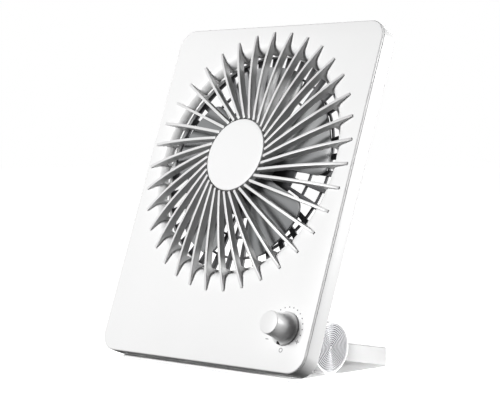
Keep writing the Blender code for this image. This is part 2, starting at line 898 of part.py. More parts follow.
def foot():
    half = foot_width / 2
    front, rear = hinge_y - foot_front, hinge_y + foot_rear
    plate = block(
        "foot_plate", (-half, front, pad_below), (half, rear, plate_top), None, white_metal,
        foot_corner, along="Z", segments=5,
    )
    lip = block(
        "foot_lip", (-half, rear - 3 * foot_corner, pad_below),
        (half, rear, lip_height), None, cutter_look, foot_corner, along="Z", segments=5,
    )
    lip_clear = block(
        "foot_lip_clear",
        (-foot_width, rear - lip_thickness - foot_width, plate_top),
        (foot_width, rear - lip_thickness, 2 * lip_height),
        None,
        cutter_look,
    )
    cut(lip, lip_clear)
    join(plate, lip)
    for side, sign in (("right", 1), ("left", -1)):
        low, high = sorted((sign * knuckle_start, sign * hinge_end))
        knuckle = rod(
            f"foot_knuckle_{side}", hinge_radius, low, high, hinge_axis, cutter_look, segments=48
        )
        saddle = block(
            f"foot_saddle_{side}", (low, hinge_y - saddle_width / 2, pad_below + foot_thickness / 2),
            (high, hinge_y + saddle_width / 2, hinge_z - hinge_radius * saddle_top), None, cutter_look,
        )
        hollow_ends = sorted((sign * (knuckle_start + knuckle_web), sign * 2 * hinge_end))
        hollow = rod(
            f"foot_knuckle_hollow_{side}", hinge_radius - knuckle_wall, *hollow_ends, hinge_axis,
            cutter_look, segments=48,
        )
        pin_hole = rod(
            f"foot_pin_hole_{side}", pin_radius + running_fit, *sorted((0, sign * 2 * hinge_end)),
            hinge_axis, cutter_look, segments=24,
        )
        join(plate, knuckle, saddle)
        cut(plate, hollow, pin_hole)
    sides, ends = (pad_margin - half, half - pad_margin), (front + pad_margin, rear - pad_margin)
    places = [(x, y) for x in sides for y in ends]
    for i, place in enumerate(places):
        recess = rod(
            f"foot_pad_recess_{i}", pad_radius + pad_clearance, -foot_thickness,
            pad_thickness + pad_clearance, None, cutter_look, place, 24,
        )
        cut(plate, recess)
        rod(f"foot_pad_{i + 1}", pad_radius, 0, pad_thickness, None, rubber, place, 24)


# Build ---------------------------------------------------------------------------------------

for old in list(bpy.data.objects):
    bpy.data.objects.remove(old, do_unlink=True)

parts = bpy.data.collections.new("Folding desk fan")
cutters = bpy.data.collections.new("Cutters")
bpy.context.scene.collection.children.link(parts)
bpy.context.scene.collection.children.link(cutters)
cutters.hide_render = True

white_plastic = material("White plastic", "F1F1F1", 0.45)
grey_plastic = material("Grey plastic", "B9B9B9", 0.5)
dark_plastic = material("Dark plastic", "3A3A3A", 0.5)
white_metal = material("White painted steel", "F1F1F1", 0.4)
grey_metal = material("Turned aluminium", "C9C9C9", 0.35, 1.0)
dark_metal = material("Dark magnet", "4A4A4A", 0.5, 0.6)
steel = material("Steel", "B5B5B5", 0.3, 1.0)
brass = material("Brass", "B99A5B", 0.35, 1.0)
copper = material("Copper windings", "B4703C", 0.4, 0.8)
green_board = material("Circuit board", "2F5C46", 0.6)
cell_wrap = material("Cell wrap", "5F6E86", 0.4)
clear_lens = material("Status lens", "DCE8DC", 0.2)
rubber = material("Rubber", "2B2B2B", 0.8)
cutter_look = material("Cutter", "FF8844")

fold_axis = frame("fold_axis", (0, hinge_y, hinge_z), (-slab_lean, 0, 0))
slab_frame = frame("slab_frame", (0, -hinge_back, -hinge_up), (0, 0, 0), fold_axis)
depth_axis = frame("depth_axis", (0, 0, 0), (-pi / 2, 0, 0), slab_frame)
fan_axis = frame("fan_axis", (0, 0, fan_height), (pi / 2, 0, 0), slab_frame)
knob_axis = frame("knob_axis", (knob_side, 0, knob_height), (pi / 2, 0, 0), slab_frame)
hinge_axis = frame("hinge_axis", (0, hinge_y, hinge_z), (0, pi / 2, 0))

front_cover()
rear_casing()
casing_screws()
spiral_grille()
hub_badge()
rear_grille()
impeller()
motor()
control_knob()
electronics()
battery_barrel()
hinge_end_parts("right", 1)
hinge_end_parts("left", -1)
foot()
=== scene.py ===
"""Folding desk fan in white plastic: the fine surfaces, finishes, lights and camera.

The slab, its grille and its knob are shaped in the slab's own frame and then placed:
  slab_place  X right, Y depth behind the front face, Z up the slab from its bottom edge
  fan_place   X right, Y up the slab, Z out of the front face, from the fan's centre
  knob_place  the same, from the knob's centre
  hinge_place Z along the hinge, towards the right-hand end
"""

import json
from math import cos, pi, radians, sin, sqrt, tan

import bpy
from mathutils import Matrix, Vector


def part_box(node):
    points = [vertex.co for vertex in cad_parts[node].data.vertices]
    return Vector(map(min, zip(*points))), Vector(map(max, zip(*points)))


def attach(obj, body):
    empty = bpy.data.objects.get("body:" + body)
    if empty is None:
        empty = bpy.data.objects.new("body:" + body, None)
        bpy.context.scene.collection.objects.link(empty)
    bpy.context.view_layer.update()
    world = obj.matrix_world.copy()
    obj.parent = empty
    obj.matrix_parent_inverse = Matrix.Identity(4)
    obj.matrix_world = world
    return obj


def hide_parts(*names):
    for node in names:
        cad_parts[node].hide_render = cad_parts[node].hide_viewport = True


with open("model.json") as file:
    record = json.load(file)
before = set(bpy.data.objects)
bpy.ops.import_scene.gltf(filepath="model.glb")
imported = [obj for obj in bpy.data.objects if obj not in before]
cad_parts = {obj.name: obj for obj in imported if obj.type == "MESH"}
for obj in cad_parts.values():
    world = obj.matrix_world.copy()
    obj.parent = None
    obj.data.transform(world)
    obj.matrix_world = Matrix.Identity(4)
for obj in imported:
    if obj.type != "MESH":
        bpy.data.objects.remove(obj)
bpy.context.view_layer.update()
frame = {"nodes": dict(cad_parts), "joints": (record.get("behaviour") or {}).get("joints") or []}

mm = 0.001

# Sizes of the slab and its opening
slab_width = 150 * mm
slab_length = 186.2 * mm
slab_depth = 11.2 * mm
slab_corner = 10 * mm
cover_edge = 1.0 * mm
cover_soft_edge = 0.8 * mm
cover_thickness = 3.0 * mm
seam_gap = 0.5 * mm
casing_wall = 2.0 * mm
casing_round = 1.8 * mm
casing_edge_round = 0.25 * mm
rim_overlap = 0.4 * mm
fit = 0.3 * mm
fan_height = 109.9 * mm
fan_depth = 4.7 * mm
throat_radius = 61.5 * mm
flare_round = 5.0 * mm
throat_depth = 6.2 * mm
throat_wall = 2.5 * mm
flare_widening = 0.01 * mm
shaft_hole_radius = 3.0 * mm
window_reach = 5 * mm
back_hole_start = 5 * mm
screw_seat_radius = 2.7 * mm
screw_seat_depth = 1 * mm
screw_hole_radius = 1.55 * mm
lens_hole_radius = 1.9 * mm
socket_middle = 6.1 * mm
socket_half_depth = 1.9 * mm
socket_low = 21.2 * mm
socket_high = 30.8 * mm
socket_outward = 3 * mm
socket_inward = 4 * mm

# Sizes of the spiral grille
fin_count = 35
fin_skew = 10 * mm
fin_thickness = 1.5 * mm
fin_depth = 4.1 * mm
fin_turn = radians(6.95)
fin_tip = 72.4 * mm
fin_gap = 0.35 * mm
fin_start_gap = 0.6 * mm
fin_leg_overlap = 0.2 * mm
fin_leg_step = 0.05 * mm
fin_leg_reach = 0.8 * mm
fin_leg_inset = 0.4 * mm
fin_edge_round = 0.12 * mm
# Degrees round the opening's edge at which a fin follows it
flare_angles = (80, 66, 52, 38, 24, 12, 0)
dome_height = 8.3 * mm
dome_radius = 74.2 * mm
ring_outer = 61.2 * mm
ring_inner = 60.0 * mm
ring_front = -4.2 * mm
ring_back = -6.0 * mm
badge_radius = 19.9 * mm
badge_face = 8.5 * mm
badge_back = 7.3 * mm
badge_crown = 0.15 * mm
badge_round = 0.5 * mm
cup_outer = 19.3 * mm
cup_inner = 17.6 * mm
cup_top = 7.0 * mm
cup_roof = 5.7 * mm
cup_round = 0.3 * mm

# Sizes of the impeller and the rear grille
blade_count = 5
blade_tip = 54.0 * mm
blade_thickness = 1.2 * mm
blade_middle = -5.0 * mm
blade_rise = 2.6 * mm
blade_half_angle = radians(28)
blade_phase = radians(20)
blade_camber = 0.5 * mm
# Extra pitch at the root, width at the root, and width lost at the tip's corners, as shares
blade_twist = 0.25
blade_root_share = 0.86
blade_corner_share = 0.34
blade_corner_power = 12
blade_edge_round = 0.3 * mm
hub_radius = 16.8 * mm
hub_top = 4.9 * mm
hub_rear = -7.0 * mm
hub_wall = 1.2 * mm
hub_round = 1.0 * mm
boss_radius = 3.5 * mm
boss_length = 0.6 * mm
bore_radius = 1.7 * mm
bore_roof = 0.7 * mm
grille_radius = 64.0 * mm
grille_inside = -9.6 * mm
grille_lip = 67.5 * mm
grille_wall = 0.8 * mm
slot_columns = 36
slot_turn = radians(1.3)
slot_half_angle = radians(3.4)
grille_rings = ((62.4 * mm, 64.0 * mm), (50.9 * mm, 52 * mm), (39.4 * mm, 40.5 * mm))
grille_middle = 29 * mm
middle_back_round = 0.3 * mm
middle_face_round = 0.2 * mm
slot_ring_round = 0.25 * mm
flange_inset = 0.1 * mm
flange_foot = 0.3 * mm
flange_wall_inset = 1 * mm
flange_low = -8.9 * mm
flange_high = -8.0 * mm
rib_start_overlap = 0.5 * mm
rib_end = 63 * mm
rib_recess = 0.05 * mm
rib_edge_round = 0.2 * mm

# Sizes of the knob and the marks round it
knob_side = 57.9 * mm
knob_height = 22.1 * mm
knob_lift = 0.4 * mm
knob_face = 12.8 * mm
knob_radius = 5.95 * mm
knob_skirt = 8.6 * mm
knob_edge_round = 0.55 * mm
knob_side_swell = 0.12 * mm
knob_side_middle = 9 * mm
knob_foot_swell = 0.32 * mm
sweep_start = 6.6 * mm
sweep_out = 2.2 * mm
sweep_down = 5.2 * mm
sweep_turn = radians(82)
skirt_inset = 0.15 * mm
skirt_shoulder = 1.1 * mm
skirt_edge = 0.9 * mm
knob_bore = 2.7 * mm
knob_roof = 2.5 * mm
pointer_half_width = 1.2 * mm
pointer_outer = 8.5 * mm
pointer_inner = 6.9 * mm
# Heights of its lower and upper faces, each at the outer and then the inner end
pointer_low = (0.7 * mm, 1.9 * mm)
pointer_high = (1.3 * mm, 2.65 * mm)
pointer_narrowing = 0.45
pointer_edge_round = 0.12 * mm
pointer_turn = radians(-8)
mark_height = 0.06 * mm
mark_lift = 0.01 * mm
mark_edge_round = 0.02 * mm
mark_width = 0.36 * mm
dot_radius = 0.33 * mm
dot_count = 10
dot_circle = 11.1 * mm
dot_first = radians(124)
dot_pitch = radians(-15.2)
off_angle = radians(-88.5)
off_circle = 10.9 * mm
off_outer = 1.2 * mm
off_inner = 0.88 * mm
plus_angle = radians(-31)
plus_circle = 11.4 * mm
plus_length = 2.2 * mm
minus_angle = radians(-150)
minus_circle = 12.3 * mm
minus_length = 2.0 * mm

# Sizes of the foot and the hinge
hinge_radius = 13.0 * mm
hinge_end = 63.4 * mm
barrel_half = 50.0 * mm
barrel_radius = 12.6 * mm
barrel_bore = 9.5 * mm
barrel_end_round = 0.4 * mm
knuckle_start = 50.4 * mm
knuckle_wall = 0.8 * mm
knuckle_web = 4.0 * mm
knuckle_inner_round = 0.25 * mm
knuckle_outer_round = 0.2 * mm
knuckle_rim_round = 0.1 * mm
pin_bore = 3.1 * mm
cap_radius = 12.05 * mm
cap_face = 63.0 * mm
cap_thickness = 1.2 * mm
cap_ring_count = 11
cap_middle = 0.9 * mm
cap_groove = 0.75 * mm
# Where a groove's floor starts and ends and its far side ends, as shares of the ring pitch
groove_start = 0.1
groove_end = 0.4
groove_top = 0.5
neck_half_width = 48 * mm
neck_below = 5 * mm
neck_above = 9 * mm
neck_hollow_gap = 1.5 * mm
neck_hollow_half = 60 * mm
neck_round = 2 * mm
neck_round_depth = 13 * mm
neck_edge_round = 0.3 * mm
foot_width = 132.4 * mm
foot_front = 28.2 * mm
foot_rear = 41.9 * mm
foot_bottom = 0.3 * mm
foot_thickness = 1.6 * mm
foot_corner = 4 * mm
lip_height = 11.3 * mm
lip_thickness = 1.6 * mm
foot_edge_round = 0.35 * mm
saddle_width = 8 * mm
saddle_inset = 0.3 * mm
saddle_top = 0.94
saddle_edge_round = 0.15 * mm

# Sizes that all pieces share. A solid turned piece starts from a flat disc as wide as the core.
core = 0.5 * mm
fine_steps = 128
rod_chamfer = 0.15 * mm
same_place = 0.01 * mm
weld_distance = 0.002 * mm
drift_size = 40 * mm

# Studio light
surround_light = 0.035
floor_glow = 0.98
key_place = (-0.32, -0.98, 0.50)
key_power = 14.3
key_size = 0.35
rim_place = (0.95, 0.75, 0.3)
rim_power = 19.0
rim_size = 0.5
foot_light_place = (0.60, -0.55, 0.14)
foot_light_power = 6.0
foot_light_size = 0.3
back_light_place = (-0.35, 1.0, 0.55)
back_light_power = 6.0
back_light_size = 0.6
light_target_height = 90 * mm
floor_size = 8
floor_drop = 0.05 * mm
middle_tones = 0.82

# Camera
camera_azimuth = radians(44.725)
camera_elevation = radians(2.54)
camera_distance = 828.8 * mm
camera_target = (40.75 * mm, 0, 80.63 * mm)
camera_lens = 120.3
camera_sensor = 36
camera_nearest = 10 * mm

# Places, from the joints
joints = {joint["name"]: joint for joint in frame["joints"]}
forward = Vector(joints["fan_spin"]["axis"]).normalized()
right = Vector((1, 0, 0))
upward = right.cross(-forward)
fan_centre = Vector(joints["fan_spin"]["pos_m"]) + forward * fan_depth
slab_corner_point = fan_centre - upward * fan_height
hinge = Vector(joints["fold"]["pos_m"])


def placed(origin, x, y, z):
    """A frame from its origin and its three axes."""
    columns = Matrix((x, y, z)).transposed().to_4x4()
    return Matrix.Translation(origin) @ columns


slab_place = placed(slab_corner_point, right, -forward, upward)
fan_place = placed(fan_centre, right, upward, forward)
knob_place = placed(
    slab_corner_point + right * knob_side + upward * knob_height, right, upward, forward
)
hinge_place = placed(hinge, Vector((0, 0, -1)), Vector((0, 1, 0)), Vector((1, 0, 0)))


# Materials -----------------------------------------------------------------------------------


def linear(hex_code):
    """An sRGB hex value as linear red, green, blue and alpha."""
    channels = [int(hex_code[i : i + 2], 16) / 255 for i in (0, 2, 4)]
    return [c / 12.92 if c <= 0.04045 else ((c + 0.055) / 1.055) ** 2.4 for c in channels] + [1.0]


def add_node(tree, kind, settings=None, inputs=None):
    """Adds a node. An input given as a socket is linked, and any other is set."""
    made = tree.nodes.new(kind)
    for name, value in (settings or {}).items():
        setattr(made, name, value)
    for name, value in (inputs or {}).items():
        if isinstance(value, bpy.types.NodeSocket):
            tree.links.new(value, made.inputs[name])
        else:
            made.inputs[name].default_value = value
    return made


def surface(name, hex_code, roughness, metallic=0.0, ior=1.5):
    """A new material, its node tree, its shader and its Object coordinates."""
    made = bpy.data.materials.new(name)
    made.use_nodes = True
    tree = made.node_tree
    shader = tree.nodes["Principled BSDF"]
    shader.inputs["Base Color"].default_value = linear(hex_code)
    shader.inputs["Roughness"].default_value = roughness
    shader.inputs["Metallic"].default_value = metallic
    shader.inputs["IOR"].default_value = ior
    place = add_node(tree, "ShaderNodeTexCoord").outputs["Object"]
    return made, tree, shader, place


def grained(name, hex_code, shade_code, roughness, spread, grain, depth, metallic=0.0, ior=1.5):
    """A surface whose colour drifts a little and whose fine grain breaks up its gloss."""
    made, tree, shader, place = surface(name, hex_code, roughness, metallic, ior)
    drift = add_node(
        tree, "ShaderNodeTexNoise", inputs={"Vector": place, "Scale": 1 / drift_size, "Detail": 2.0}
    )
    fine = add_node(
        tree, "ShaderNodeTexNoise", inputs={"Vector": place, "Scale": 1 / grain, "Detail": 3.0}
    )
    mixed = add_node(
        tree,
        "ShaderNodeMix",
        {"data_type": "RGBA"},
        {"Factor": drift.outputs["Fac"], "A": linear(hex_code), "B": linear(shade_code)},
    )
    gloss = add_node(
        tree,
        "ShaderNodeMapRange",
        inputs={
            "Value": fine.outputs["Fac"], "From Min": 0.3, "From Max": 0.7,
            "To Min": roughness - spread, "To Max": roughness + spread,
        },
    )
    bump = add_node(
        tree,
        "ShaderNodeBump",
        inputs={"Height": fine.outputs["Fac"], "Distance": depth, "Strength": 0.5},
    )
    tree.links.new(mixed.outputs["Result"], shader.inputs["Base Color"])
    tree.links.new(gloss.outputs["Result"], shader.inputs["Roughness"])
    tree.links.new(bump.outputs["Normal"], shader.inputs["Normal"])
    return made


# Injection-moulded ABS: bright neutral white with a fine spark-eroded grain that softens gloss.
white_abs = grained("Moulded white ABS", "E9E9E9", "E6E6E6", 0.42, 0.05, 0.45 * mm, 0.012 * mm)
# The grille is the same ABS from a smoother tool, so its fin edges catch the light. Its white is a
# little darker than the slab's, as painted shade on the fins' sides.
grille_abs_painted_shade = grained("Grille white ABS with painted shade", "E0E0E0", "DDDDDD", 0.34, 0.04, 0.6 * mm, 0.008 * mm)
# The knob is the same ABS from a finer mould, with a smoother skirt.
knob_abs = grained("Knob white ABS", "E6E6E6", "E3E3E3", 0.38, 0.04, 0.5 * mm, 0.006 * mm)
# Moulded polypropylene blades with a waxy gloss. Their neutral mid grey is painted shade: the
# blades themselves are white.
blade_painted_shade = grained("Painted-shade grey polypropylene", "8F9091", "88898A", 0.38, 0.05, 0.6 * mm, 0.010 * mm)
# The rear grille is ABS coloured a darker grey as painted shade, so that it sinks behind the white
# fins.
rear_grille_painted_shade = grained("Rear grille ABS in painted-shade grey", "6C6C6E", "656567", 0.5, 0.05, 0.5 * mm, 0.010 * mm)
# Powder coat on steel: white, with a faint orange peel about a millimetre across.
powder_coat = grained("White powder coat", "EAEAEA", "E7E7E7", 0.36, 0.04, 1.2 * mm, 0.010 * mm)
# Turned and anodised aluminium: pale and satin, so that the rings show as soft light and dark.
turned_aluminium = grained(
    "Turned anodised aluminium", "DEDEE0", "D4D4D6", 0.36, 0.05, 0.5 * mm, 0.004 * mm, metallic=0.3
)
# Silicone rubber pads: matte and dark, dusted lighter by wear.
silicone = grained("Silicone rubber", "4A4A4B", "57575A", 0.8, 0.08, 0.7 * mm, 0.02 * mm, ior=1.43)
# Zinc-plated steel of screws and pins.
zinc_steel = grained("Zinc-plated steel", "B9BBBE", "A9ABAE", 0.3, 0.08, 0.4 * mm, 0.004 * mm, 1.0)
# Sintered brass bearings and washers, dull with oil.
sintered_brass = grained("Sintered brass", "B2935A", "A3854F", 0.45, 0.1, 0.3 * mm, 0.006 * mm, 1.0)
# Enamelled copper wire, wound.
copper_winding = grained(
    "Enamelled copper", "A8622F", "8F4F25", 0.35, 0.1, 0.5 * mm, 0.03 * mm, metallic=0.8
)
# Bonded ferrite magnet: near black and slightly sparkling.
ferrite = grained("Bonded ferrite", "3B3C3F", "2F3033", 0.55, 0.1, 0.3 * mm, 0.01 * mm, 0.3)
# Acetal bushes, self-lubricating and waxy.
acetal = grained("Black acetal", "2C2C2E", "343436", 0.4, 0.06, 0.6 * mm, 0.008 * mm, ior=1.48)
# Solder-masked glass-fibre board.
circuit_board = grained("Green circuit board", "2E5B43", "274F3A", 0.4, 0.1, 0.9 * mm, 0.01 * mm)
# PVC shrink wrap of the cell.
shrink_wrap = grained(
    "PVC shrink wrap", "5A6B86", "52627B", 0.3, 0.08, 1.5 * mm, 0.02 * mm, ior=1.53
)
# Frosted polycarbonate lens.
frosted_lens = grained(
    "Frosted polycarbonate", "E3EBE4", "DCE5DD", 0.35, 0.05, 0.4 * mm, 0.005 * mm, ior=1.58
)
# Pad-printed ink: mid grey on the white panel.
printed_ink = grained("Pad-printed grey ink", "8A8A8C", "828284", 0.55, 0.05, 0.3 * mm, 0.002 * mm)
# The pointer is a recess filled with dark ink.
pointer_ink = grained("Pad-printed black ink", "2A2A2B", "333334", 0.5, 0.05, 0.3 * mm, 0.002 * mm)


# Shaping -------------------------------------------------------------------------------------


def fresh():
    """Nothing stays selected, so an operator acts on the new primitive alone."""
    if bpy.context.object and bpy.context.object.mode != "OBJECT":
        bpy.ops.object.mode_set(mode="OBJECT")
    bpy.ops.object.select_all(action="DESELECT")


def take(piece):
    """The piece alone is selected and active."""
    fresh()
    piece.select_set(True)
    bpy.context.view_layer.objects.active = piece


def named(name):
    """The new primitive, under its own name."""
    piece = bpy.context.object
    piece.name = piece.data.name = name
    return piece


def brick(name, low, high):
    """A cube primitive between two corners."""
    low, high = Vector(low), Vector(high)
    fresh()
    bpy.ops.mesh.primitive_cube_add(size=1, location=(low + high) / 2, scale=high - low)
    bpy.ops.object.transform_apply(location=True, rotation=True, scale=True)
    return named(name)


def pick_edges(piece, test):
    """Selects the edges whose two ends pass a test, and leaves the piece in edit mode."""
    take(piece)
    bpy.ops.object.mode_set(mode="EDIT")
    bpy.ops.mesh.select_mode(type="EDGE")
    bpy.ops.mesh.select_all(action="DESELECT")
    bpy.ops.object.mode_set(mode="OBJECT")
    points = piece.data.vertices
    for edge in piece.data.edges:
        edge.select = test(points[edge.vertices[0]].co, points[edge.vertices[1]].co)
    bpy.ops.object.mode_set(mode="EDIT")


def round_edges(piece, width, segments, test):
    """Bevels the edges that pass a test."""
    pick_edges(piece, test)
    bpy.ops.mesh.bevel(offset=width, segments=segments, profile=0.5, affect="EDGES")
    bpy.ops.object.mode_set(mode="OBJECT")


def along(axis):
    """A test for edges that run along one axis: 0 is X, 1 is Y and 2 is Z."""
    return lambda a, b: (a - b).length > 0 and abs((a - b)[axis]) > 0.999 * (a - b).length


def at(axis, value):
    """A test for edges that lie in one plane across an axis."""
    return lambda a, b: max(abs(a[axis] - value), abs(b[axis] - value)) < same_place


def turned(name, profile, steps=96, ring=False):
    """A circle primitive extruded and resized along (radius, height) points.

    A ring's profile closes on itself. Any other piece is solid from its axis.
    """
    radius, height = profile[0]
    fresh()
    bpy.ops.mesh.primitive_circle_add(
        vertices=steps,
        radius=radius,
        location=(0, 0, height),
        fill_type="NOTHING" if ring else "NGON",
    )
    piece = named(name)
    bpy.ops.object.transform_apply(location=True)
    bpy.ops.object.mode_set(mode="EDIT")
    bpy.ops.mesh.select_all(action="SELECT")
    for next_radius, next_height in profile[1:] + (profile[:1] if ring else []):
        rise = (0, 0, next_height - height)
        if ring:
            bpy.ops.mesh.extrude_edges_move(TRANSFORM_OT_translate={"value": rise})
        else:
            bpy.ops.mesh.extrude_region_move(TRANSFORM_OT_translate={"value": rise})
        grow = next_radius / radius
        bpy.ops.transform.resize(value=(grow, grow, 1), center_override=(0, 0, next_height))
        radius, height = next_radius, next_height
    bpy.ops.mesh.select_all(action="SELECT")
    bpy.ops.mesh.remove_doubles(threshold=weld_distance)
    bpy.ops.mesh.normals_make_consistent(inside=False)
    bpy.ops.object.mode_set(mode="OBJECT")
    return piece


def carried(piece, place):
    """The piece with its place put into its mesh."""
    piece.data.transform(place)
    return piece


def combine(piece, operation, *others):
    """Boolean operations on a piece. The others are used up."""
    take(piece)
    for other in others:
        made = piece.modifiers.new(operation.title(), "BOOLEAN")
        made.operation = operation
        made.solver = "EXACT"
        made.object = other
        bpy.ops.object.modifier_apply(modifier=made.name)
        bpy.data.objects.remove(other, do_unlink=True)


def soften(piece, width, segments=2, angle=40):
    """Rounds what sharp edges are left."""
    take(piece)
    made = piece.modifiers.new("Soft edges", "BEVEL")
    made.width = width
    made.segments = segments
    made.limit_method = "ANGLE"
    made.angle_limit = radians(angle)
    bpy.ops.object.modifier_apply(modifier=made.name)


def joined(piece, others):
    """One piece of several, under the first one's name."""
    take(piece)
    for other in others:
        other.select_set(True)
    bpy.ops.object.join()
    return piece


def repeated(piece, turns):
    """Copies of a piece, each with its own mesh, turned about Z."""
    copies = []
    for angle in turns:
        copy = piece.copy()
        copy.data = piece.data.copy()
        copy.data.transform(Matrix.Rotation(angle, 4, "Z"))
        bpy.context.scene.collection.objects.link(copy)
        copies.append(copy)
    return copies


def finished(piece, look, body, nodes=(), angle=35):
    """Smooths the shading, gives the finish, hangs the piece under its body's empty and hides the
    CAD nodes it stands for.
    """
    take(piece)
    bpy.ops.object.shade_smooth_by_angle(angle=radians(angle))
    piece.data.materials.clear()
    piece.data.materials.append(look)
    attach(piece, body)
    if nodes:
        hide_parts(*nodes)
    return piece


def spread(start, end, count):
    """Evenly spaced values, with both ends."""
    return [start + (end - start) * i / (count - 1) for i in range(count)]


def dome(radius):
    """Height of the fins' front edges above the front face."""
    return dome_height * (1 - (radius / dome_radius) ** 3)


def flare(angle, away=0.0):
    """A point on the opening's rounded edge, as (radius, height), or a distance away from it."""
    reach = flare_round + away
    return throat_radius + flare_round - reach * sin(angle), reach * cos(angle) - flare_round


def round_rim(radius, top, width):
    """Points round a quarter circle, from the top of a turned piece to its side."""
    return [
        (radius - width + width * sin(a), top - width + width * cos(a))
        for a in spread(0, pi / 2, 5)
    ]


def rod(name, radius, start, end, centre=(0, 0), steps=32):
    """A turned pin along Z with a small chamfer at both ends."""
    edge = min(rod_chamfer, radius * 0.2)
    low, high = sorted((start, end))
    profile = [
        (radius - edge, low), (radius, low + edge), (radius, high - edge), (radius - edge, high)
    ]
    return carried(turned(name, profile, steps), Matrix.Translation((*centre, 0)))


# Slab ----------------------------------------------------------------------------------------


def slab_brick(name, inset, front, back):
    """A block of the slab's outline, or of one a distance inside it, with its round corners."""
    half = slab_width / 2 - inset
    piece = brick(name, (-half, front, inset), (half, back, slab_length - inset))
    round_edges(piece, slab_corner - inset, 20, along(1))
    return piece


def slab_spot(node):
    """The middle of a CAD node, across and up the slab."""
    low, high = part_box(node)
    local = slab_place.inverted() @ ((Vector(low) + Vector(high)) / 2)
    return local.x, local.z


def back_hole(name, radius, start, node):
    """A cutter through the slab's back, in line with a CAD node."""
    x, z = slab_spot(node)
    place = Matrix.Translation((x, 0, z)) @ Matrix.Rotation(-pi / 2, 4, "X")
    return carried(rod(name, radius, start, 2 * slab_depth), place)


def front_cover():
    """The flat panel with its flared opening, its locating rim behind and the knob's shaft hole."""
    cover = slab_brick("front_panel", 0, 0, cover_edge)
    round_edges(cover, cover_soft_edge, 5, at(1, 0))
    inset = casing_wall + fit
    rim = slab_brick("panel_rim", inset, cover_edge - rim_overlap, cover_thickness)
    throat = rod(
        "panel_throat", throat_radius + throat_wall, -throat_depth, -cover_edge, steps=fine_steps
    )
    carried(throat, fan_frame)
    edge = [flare(angle) for angle in spread(pi / 2, 0, 12)]
    below = (throat_radius, -2 * slab_depth)
    above = (edge[-1][0] + flare_widening, slab_depth)
    opening = turned("panel_opening", [below] + edge + [above], fine_steps)
    shaft_hole = rod("panel_shaft_hole", shaft_hole_radius, -slab_depth, slab_depth)
    combine(cover, "UNION", rim, throat)
    combine(cover, "DIFFERENCE", carried(opening, fan_frame), carried(shaft_hole, knob_frame))
    finished(carried(cover, slab_place), white_abs, "slab", ["front_cover"], 30)


def rear_casing():
    """The shell behind the seam, with its window, screw seats, socket slot and status hole."""
    casing = slab_brick("rear_shell", 0, cover_edge + seam_gap, slab_depth)
    round_edges(casing, casing_round, 6, at(1, slab_depth))
    round_edges(casing, casing_edge_round, 2, at(1, cover_edge + seam_gap))
    cavity = slab_brick("shell_cavity", casing_wall, 0, slab_depth - casing_wall)
    window = rod(
        "shell_window", grille_radius + fit, -2 * slab_depth, -window_reach, steps=fine_steps
    )
    combine(casing, "DIFFERENCE", cavity, carried(window, fan_frame))
    for i in range(1, 5):
        node = f"casing_screw_{i}"
        seat = back_hole("screw_seat", screw_seat_radius, slab_depth - screw_seat_depth, node)
        hole = back_hole("screw_hole", screw_hole_radius, back_hole_start, node)
        combine(casing, "DIFFERENCE", seat, hole)
    lens_hole = back_hole("lens_hole", lens_hole_radius, back_hole_start, "status_lens")
    side = -slab_width / 2
    slot = brick(
        "socket_slot",
        (side - socket_outward, socket_middle - socket_half_depth, socket_low),
        (side + socket_inward, socket_middle + socket_half_depth, socket_high),
    )
    round_edges(slot, socket_half_depth * 0.9, 6, along(0))
    combine(casing, "DIFFERENCE", lens_hole, slot)
    carried(casing, slab_place)
    return finished(casing, white_abs, "slab", ["rear_casing"], 30)


# Spiral grille -------------------------------------------------------------------------------


def fin():
    """One fin, extruded station by station along its skewed line."""
    start = badge_radius + fin_start_gap
    leg = ring_inner + fin_leg_overlap
    leg_low = ring_front - fin_leg_reach
    stations = [(r, dome(r) - fin_depth) for r in spread(start, leg - fin_leg_step, 12)]
    stations += [(leg, leg_low), (ring_outer - fin_leg_inset, leg_low)]
    stations += [flare(radians(a), fin_gap) for a in flare_angles]
    stations += [(r, fin_gap) for r in spread(throat_radius + flare_round, fin_tip, 4)[1:]]
    r, low = stations[0]
    high = dome(r)
    at_t = sqrt(r * r - fin_skew**2)
    fresh()
    bpy.ops.mesh.primitive_plane_add(
        size=1, location=(at_t, -fin_skew, (high + low) / 2), rotation=(0, pi / 2, 0)
    )
    piece = named("grille_fin")
    piece.scale = (high - low, fin_thickness, 1)
    bpy.ops.object.transform_apply(location=True, rotation=True, scale=True)
    bpy.ops.object.mode_set(mode="EDIT")
    bpy.ops.mesh.select_all(action="SELECT")
    for r, next_low in stations[1:]:
        next_high = dome(r)
        next_t = sqrt(r * r - fin_skew**2)
        shift = ((next_high + next_low) - (high + low)) / 2
        step = (next_t - at_t, 0, shift)
        bpy.ops.mesh.extrude_region_move(TRANSFORM_OT_translate={"value": step})
        grow = (next_high - next_low) / (high - low)
        bpy.ops.transform.resize(
            value=(1, 1, grow), center_override=(next_t, -fin_skew, (next_high + next_low) / 2)
        )
        at_t, high, low = next_t, next_high, next_low
    bpy.ops.mesh.select_all(action="SELECT")
    bpy.ops.mesh.normals_make_consistent(inside=False)
    bpy.ops.object.mode_set(mode="OBJECT")
    soften(piece, fin_edge_round, 2, 50)
    return piece


def spiral_grille():
    """Hub cup, skewed fins and the ring that stands in the throat, moulded as one."""
    first = fin()
    turns = [fin_turn + 2 * pi * i / fin_count for i in range(fin_count)]
    fins = repeated(first, turns)
    bpy.data.objects.remove(first, do_unlink=True)
    skirt = dome(cup_outer) - fin_depth
    cup = turned(
        "hub_cup",
        [
            (core, cup_top), (cup_outer - cup_round, cup_top), (cup_outer, cup_top - cup_round),
            (cup_outer, skirt), (cup_inner, skirt), (cup_inner, cup_roof), (core, cup_roof),
        ],
    )
    ring = turned(
        "throat_ring",
        [
            (ring_outer, ring_back), (ring_outer, ring_front),
            (ring_inner, ring_front), (ring_inner, ring_back),
        ],
        fine_steps,
        ring=True,
    )
    grille = joined(cup, fins + [ring])
    grille.name = grille.data.name = "spiral_grille_fine"
    # The grille's slightly darker white is painted shade on its fins.
    finished(carried(grille, fan_place), grille_abs_painted_shade, "slab", ["spiral_grille"])


